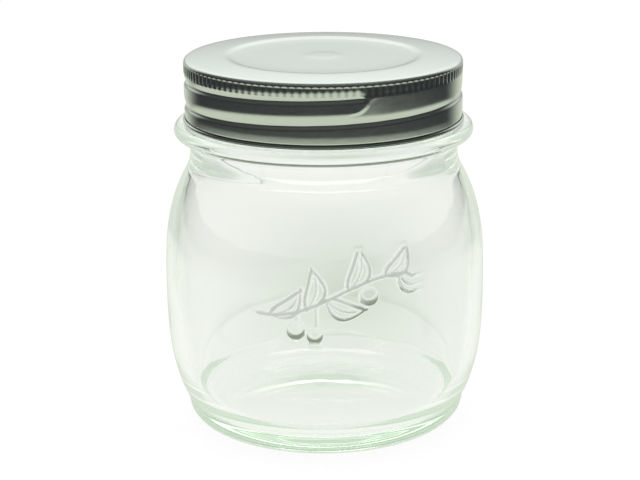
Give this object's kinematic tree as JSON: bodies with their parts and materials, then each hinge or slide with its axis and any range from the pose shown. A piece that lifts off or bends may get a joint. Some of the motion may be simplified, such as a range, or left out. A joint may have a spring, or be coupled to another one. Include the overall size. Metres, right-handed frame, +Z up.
{
  "type": "jam pot",
  "caption": "Round glass jam pot with a swelling belly, a screw neck and a knurled tinplate screw lid with a sealing ring.",
  "frame": {"origin": "on the table, under the middle of the foot", "axes": "+Z up along the pot's axis, -Y towards the front that the picture shows, +X to the right seen from the front"},
  "size_m": [0.0828, 0.0828, 0.0965],
  "materials": {
    "glass": "clear moulded glass with a faint green tint",
    "tinplate": "satin silvery tinplate",
    "sealing_ring": "soft matt sealing compound"
  },
  "bodies": {
    "jar_body": {"jar": "glass"},
    "lift_body": {"liner": "sealing_ring"},
    "lid_body": {"lid": "tinplate"}
  },
  "joints": [
    {"name": "lid_lift", "type": "slide", "parent": "jar_body", "child": "lift_body", "axis": [0, 0, 1], "range_m": [0, 0.0256]},
    {"name": "lid_turn", "type": "hinge", "parent": "lift_body", "child": "lid_body", "pos_m": [0, 0, 0.0965], "axis": [0, 0, 1], "range_deg": [0, 1530]}
  ],
  "couplings": [
    {"joint": "lid_lift", "follows": "lid_turn", "m_per_rad": 0.00095493}
  ]
}
